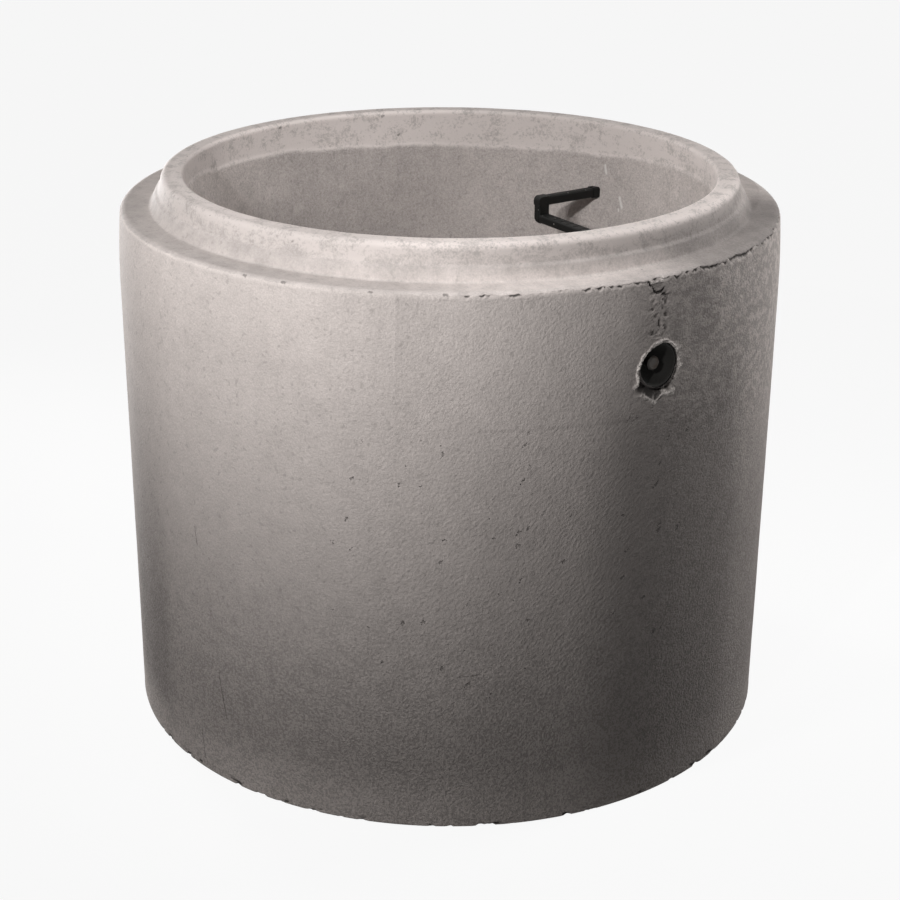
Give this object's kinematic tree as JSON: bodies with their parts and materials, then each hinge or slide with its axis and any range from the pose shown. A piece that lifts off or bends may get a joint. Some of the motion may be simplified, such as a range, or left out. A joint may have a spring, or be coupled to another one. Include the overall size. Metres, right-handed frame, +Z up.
{
  "type": "concrete well ring",
  "caption": "Precast concrete well ring with a raised spigot, a socket at its foot, black step irons up the inside and recessed lifting anchors.",
  "frame": {"origin": "centre of the foot of the ring, on the floor", "axes": "+Z up along the axis of the ring; the step irons are centred on +Y; the lifting points lie on +X and -X"},
  "size_m": [1.26, 1.2598, 1.06],
  "materials": {
    "concrete": "dry-cast concrete, open and slightly torn surface",
    "step_plastic": "moulded plastic coat over a steel bar",
    "anchor_steel": "forged steel with a dull skin",
    "cup_plastic": "thin moulded plastic"
  },
  "bodies": {
    "root": {"concrete_ring": "concrete", "step_1": "step_plastic", "step_2": "step_plastic", "step_3": "step_plastic", "step_4": "step_plastic", "lifting_anchor_1": "anchor_steel", "lifting_anchor_2": "anchor_steel", "anchor_cup_1": "cup_plastic", "anchor_cup_2": "cup_plastic"}
  },
  "joints": []
}
